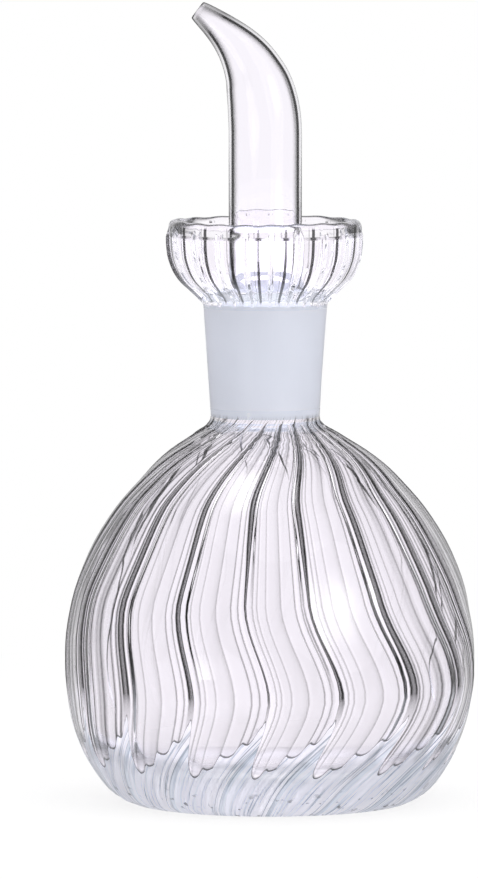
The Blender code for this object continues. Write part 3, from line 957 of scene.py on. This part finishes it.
def spout_centre_line(sizes):
    """The four handles of the bend in the spout's plane, from the end of the straight tube to the tip."""
    tip_x = SPOUT_BOX[0].x - NECK_AXIS + sizes.tip_radius * math.cos(sizes.tip_lean)
    tip = Vector((tip_x, TIP_TOP - CLEARANCE - sizes.tip_radius * math.sin(sizes.tip_lean)))
    start = Vector((0, SPOUT_BASE + sizes.straight))
    rise = start + Vector((0, (tip - start).y * BEND_RISE_SHARE))
    way = Vector((-math.sin(sizes.tip_lean), math.cos(sizes.tip_lean)))
    lean = tip - way * tip_x * -BEND_REACH_SHARE
    return start, rise, lean, tip


def bend_spout(obj, sizes):
    """Bends the straight tapered tube along its centre line."""
    start, rise, lean, tip = (np.array(handle) for handle in spout_centre_line(sizes))
    points = read_points(obj)
    write_layer(obj, "tube_radius", np.hypot(points[:, 0], points[:, 1]))
    t = ((points[:, 2] - start[1]) / (tip[1] - start[1]))[:, None]
    centre = start * (1 - t) ** 3 + rise * 3 * t * (1 - t) ** 2 + lean * 3 * t**2 * (1 - t) + tip * t**3
    along = (rise - start) * (1 - t) ** 2 + (lean - rise) * 2 * t * (1 - t) + (tip - lean) * t**2
    along /= np.linalg.norm(along, axis=1, keepdims=True)
    across = centre[:, 0] + along[:, 1] * points[:, 0]
    bent = np.stack([across, points[:, 1], centre[:, 1] - along[:, 0] * points[:, 0]], axis=1)
    axes = np.stack([along[:, 0], np.zeros(len(points)), along[:, 1]], axis=1)
    write_layer(obj, "tube_axis", np.where(t > 0, axes, (0.0, 0.0, 1.0)))
    points = np.where(t > 0, bent, points)
    points[:, 0] += NECK_AXIS
    write_points(obj, points)


def cut_groove(obj, sizes, top):
    """Presses the drip groove down the outside of the ground cone."""
    points = read_points(obj)
    radius = np.hypot(points[:, 0], points[:, 1])
    outer = sizes.plug_radius - sizes.taper * (top - points[:, 2])
    turn = np.arctan2(points[:, 1], points[:, 0]) - sizes.groove_angle
    turn = (turn + np.pi) % math.tau - np.pi
    width = GROOVE_HALF_WIDTH / sizes.plug_radius
    depth = sizes.groove * (0.5 + 0.5 * np.cos(np.pi * np.clip(turn / width, -1, 1)))
    on_cone = (radius > outer - 0.0004) & (points[:, 2] < top + 1e-5)
    shrink = np.where(on_cone, (radius - depth) / np.maximum(radius, 1e-9), 1)
    points[:, 0] *= shrink
    points[:, 1] *= shrink
    write_points(obj, points)


class CRUET_OT_stopper(bpy.types.Operator):
    """Model the stopper: hollow ground plug and bent pouring spout in one skin of glass"""

    bl_idname = "cruet.stopper"
    bl_label = "Stopper"

    def execute(self, context):
        sizes = context.scene.cruet_stopper
        glass = context.scene.cruet_glass
        top = PLUG_BASE + sizes.plug_length
        obj = draw_outline("cruet_stopper", self.outline(sizes, top), 8)
        heights = read_points(obj)[:, 2]
        mark_outside(obj, int(np.argmax(heights)) / len(heights))
        turn_outline(obj, sizes.sides)
        cut_groove(obj, sizes, top)
        bend_spout(obj, sizes)
        tube = spout_glass(glass.stopper_tint, sizes.spout_radius, sizes.tip_radius)
        obj.data.materials.append(tube)

        def on_cone(radius, height):
            outer = sizes.plug_radius - sizes.taper * (top - height)
            on_plug = (height < top) & (height > PLUG_BASE + 1e-5)
            return (radius > outer - sizes.groove - 0.0003) & on_plug

        dulled = tuple(0.7 * value for value in glass.ground_tint)
        frost_faces(obj, ground_glass("ground_plug_glass", dulled), on_cone)
        bpy.ops.object.shade_smooth_by_angle(angle=SMOOTH_ANGLE)
        nodes = ("ground_plug", "pouring_spout")
        finish_piece(obj, "stopper_glass", "stopper", nodes)
        return {"FINISHED"}

    @staticmethod
    def outline(sizes, top):
        """The straight stopper's outline in strokes, from the plug's foot up outside and down inside."""
        wide, narrow = sizes.spout_radius, sizes.tip_radius
        plug = sizes.plug_radius
        foot = plug - sizes.taper * sizes.plug_length
        start, _, _, tip = spout_centre_line(sizes)
        outside = []
        inside = []
        for share, width in TUBE_SHARES:
            radius, height = between(narrow, wide, width), between(start.y, tip.y, share)
            outside.append((radius, height))
            inside.append((radius - between(sizes.tip_wall, sizes.spout_wall, width), height))
        edge = sizes.tip_wall / 4
        lip = [(outside[-1][0] - edge, tip.y + edge), (inside[-1][0] + edge, tip.y + edge)]
        cone = [(foot, PLUG_BASE), (plug, top)]
        tube = [(wide, SPOUT_BASE), (wide, start.y)]
        shoulder = [cone[1], (plug - 0.0003, top + 0.0005), (wide + 0.0002, SPOUT_BASE - 0.0003), tube[0]]
        throat = (wide - sizes.spout_wall, SPOUT_BASE)
        bore = [throat, (plug - sizes.plug_wall, top - 0.0015)]
        bore_end = [bore[1], (foot - sizes.plug_wall, PLUG_BASE)]
        shaft = [inside[0], throat]
        foot_ring = [bore_end[1], cone[0]]
        return cone, shoulder, tube, outside + lip + inside[::-1], shaft, bore, bore_end, foot_ring


# The picture that the camera frames, in pixels, and where the middle of the cruet's height stands in it
IMAGE_WIDTH, IMAGE_HEIGHT = 478, 879
PICTURE_MIDDLE = (269.7, 402.2)
SENSOR_WIDTH = 36

# What the lamps and cards are aimed at, and how far off they stand
AIM = Vector((0, 0, 0.045))
CARD_DISTANCE = 1.0

# Name, azimuth, elevation, distance, size and power
LAMPS = (("overhead_lamp", 5, 80, 0.9, 1.2, 3), ("right_lamp", 44, 23, 1.0, 1.2, 3.5))

# Name, azimuth, elevation, width and height, and strength
CARDS = (
    ("top_card", -61, 77, (0.34, 0.34), 9.0),
    ("right_card", 44, 23, (0.4, 0.44), 8.0),
    ("left_card", -36, -6, (0.2, 0.3), 4.5),
)

# The dark bays of the room: the middle and half width of one, and how dark it and a mirrored wall are
BAY_MIDDLE = math.radians(31)
BAY_HALF_WIDTH = math.radians(6)
BAY_DARKNESS = 0.5
FLOOR_COLOUR = (0.93, 0.93, 0.94, 1)


def direction(azimuth, elevation):
    a, e = math.radians(azimuth), math.radians(elevation)
    return Vector((math.sin(a) * math.cos(e), -math.cos(a) * math.cos(e), math.sin(e)))


def point_back(obj, way):
    """Turns an object so that it looks against a direction."""
    obj.rotation_mode = "QUATERNION"
    obj.rotation_quaternion = way.to_track_quat("Z", "Y")


def floor_material(radius):
    """Pale floor: white to the eye and through the glass, with the cruet's faint shadow near it."""
    material, tree, shader = new_material("pale_floor")
    tree.nodes.remove(shader)
    diffuse = add_node(tree, "BsdfDiffuse", FLOOR_COLOUR)
    path = add_node(tree, "LightPath").outputs
    glossy, through = path["Is Glossy Ray"], path["Is Transmission Ray"]
    seen = work_out("ADD", path["Is Camera Ray"], glossy)
    seen = work_out("ADD", seen, through, clamp=True)
    mirrored = less(glossy, through, clamp=True)
    strength = times_plus(mirrored, -BAY_DARKNESS, 1.0)
    white = add_node(tree, "Emission", (1, 1, 1, 1), strength)
    away = from_middle(tree)
    fade = ease(away, radius * 0.1, radius * 0.9, 0.8, 1.0)
    whiteness = both(larger(fade, through), seen)
    mix = add_node(tree, "MixShader", whiteness, diffuse.outputs[0], white.outputs[0])
    tree.links.new(mix.outputs[0], tree.nodes["Material Output"].inputs["Surface"])
    return material


def light_room(context):
    """White room whose walls have dark bays between white ones, which draw the glass's edges."""
    world = bpy.data.worlds.new("studio")
    context.scene.world = world
    world.use_nodes = True
    tree = world.node_tree
    back = tree.nodes["Background"]
    back.inputs["Strength"].default_value = 1.0
    way = add_node(tree, "SeparateXYZ", read_node(tree, "TexCoord", "Generated")).outputs
    azimuth = work_out("ARCTAN2", way["X"], way["Y"])
    corner = work_out("PINGPONG", azimuth, math.pi / 4)
    off = work_out("ABSOLUTE", less(corner, BAY_MIDDLE))
    bay = both(less(BAY_HALF_WIDTH, off), 40.0, clamp=True)
    low = both(work_out("ADD", way["Z"], 0.04), 12.0, clamp=True)
    high = both(less(0.6, way["Z"]), 4.0, clamp=True)
    dark = both(both(bay, low), high)
    path = add_node(tree, "LightPath").outputs
    unseen = less(1.0, path["Is Camera Ray"], clamp=True)
    not_soft = less(unseen, path["Is Diffuse Ray"], clamp=True)
    mirrored = less(path["Is Glossy Ray"], path["Is Transmission Ray"], clamp=True)
    dark = larger(both(dark, not_soft), mirrored)
    tree.links.new(less(1.0, both(dark, BAY_DARKNESS)), back.inputs["Color"])


def add_lamp(name, azimuth, elevation, distance, size, power):
    """A soft round lamp aimed at the cruet, which shows neither to the eye nor in the gloss."""
    way = direction(azimuth, elevation)
    bpy.ops.object.light_add(type="AREA", location=AIM + way * distance)
    lamp = bpy.context.active_object
    lamp.name = name
    lamp.data.shape = "DISK"
    lamp.data.size = size
    lamp.data.energy = power
    point_back(lamp, way)
    lamp.visible_camera = False
    lamp.visible_glossy = False


def card_material(name, strength):
    """Light that fades out from the middle of a card."""
    material, tree, shader = new_material(name)
    tree.nodes.remove(shader)
    away = from_middle(tree)
    fade = ease(away, 0.0, 1.0, 1.0, 0.0)
    light = add_node(tree, "Emission", (1, 1, 1, 1), both(fade, strength))
    clear = add_node(tree, "BsdfTransparent")
    mix = add_node(tree, "MixShader", fade, clear.outputs[0], light.outputs[0])
    tree.links.new(mix.outputs[0], tree.nodes["Material Output"].inputs["Surface"])
    return material


def add_card(name, azimuth, elevation, size, strength):
    """A card of soft light that shows only in the gloss of the glass."""
    way = direction(azimuth, elevation)
    place = AIM + way * CARD_DISTANCE
    deselect()
    bpy.ops.mesh.primitive_circle_add(vertices=48, radius=1, fill_type="NGON", location=place)
    card = bpy.context.active_object
    card.name = name
    point_back(card, way)
    card.scale = (*size, 1)
    card.data.materials.append(card_material(name + "_light", strength))
    card.visible_camera = card.visible_transmission = False
    card.visible_diffuse = card.visible_shadow = False


class CRUET_OT_stage(bpy.types.Operator):
    """Set the floor, the white room, the lamps and the camera"""

    bl_idname = "cruet.stage"
    bl_label = "Stage"

    def execute(self, context):
        sizes = context.scene.cruet_stage
        deselect()
        bpy.ops.mesh.primitive_circle_add(vertices=128, radius=sizes.floor_radius, fill_type="NGON")
        floor = context.active_object
        floor.name = "floor"
        write_points(floor, read_points(floor) - np.array([0, 0, CLEARANCE]))
        floor.data.materials.append(floor_material(sizes.floor_radius))
        light_room(context)
        for lamp in LAMPS:
            add_lamp(*lamp)
        for card in CARDS:
            add_card(*card)
        eye = Vector((0, -sizes.distance, sizes.eye_height))
        bpy.ops.object.camera_add(location=eye)
        camera = context.active_object
        point_back(camera, eye - Vector((0, 0, TIP_TOP / 2)))
        camera.data.lens = sizes.lens
        camera.data.sensor_width = SENSOR_WIDTH
        camera.data.shift_x = (IMAGE_WIDTH / 2 - PICTURE_MIDDLE[0]) / IMAGE_HEIGHT
        camera.data.shift_y = (PICTURE_MIDDLE[1] - IMAGE_HEIGHT / 2) / IMAGE_HEIGHT
        camera.data.clip_start = 0.01
        context.scene.camera = camera
        context.scene.view_settings.view_transform = "Standard"
        return {"FINISHED"}


class CRUET_PT_panel(bpy.types.Panel):
    """Panel with one button for each piece of the cruet, and all sizes and colours"""

    bl_label = "Glass oil cruet"
    bl_idname = "CRUET_PT_panel"
    bl_space_type = "VIEW_3D"
    bl_region_type = "UI"
    bl_category = "Cruet"

    def draw(self, context):
        for operator in (CRUET_OT_flask, CRUET_OT_stopper, CRUET_OT_stage):
            self.layout.operator(operator.bl_idname)
        for settings_name in SETTINGS:
            group = getattr(context.scene, settings_name)
            for name in group.__annotations__:
                self.layout.prop(group, name)


SETTINGS = {
    "cruet_flask": FlaskSettings,
    "cruet_stopper": StopperSettings,
    "cruet_glass": GlassSettings,
    "cruet_stage": StageSettings,
}
CLASSES = (*SETTINGS.values(), CRUET_OT_flask, CRUET_OT_stopper, CRUET_OT_stage, CRUET_PT_panel)


def register():
    for item in CLASSES:
        bpy.utils.register_class(item)
    for settings_name, group in SETTINGS.items():
        setattr(bpy.types.Scene, settings_name, PointerProperty(type=group))


def unregister():
    for settings_name in SETTINGS:
        delattr(bpy.types.Scene, settings_name)
    for item in reversed(CLASSES):
        bpy.utils.unregister_class(item)


def main():
    register()
    bpy.ops.cruet.stage()
    bpy.ops.cruet.flask()
    bpy.ops.cruet.stopper()


if __name__ == "__main__":
    main()
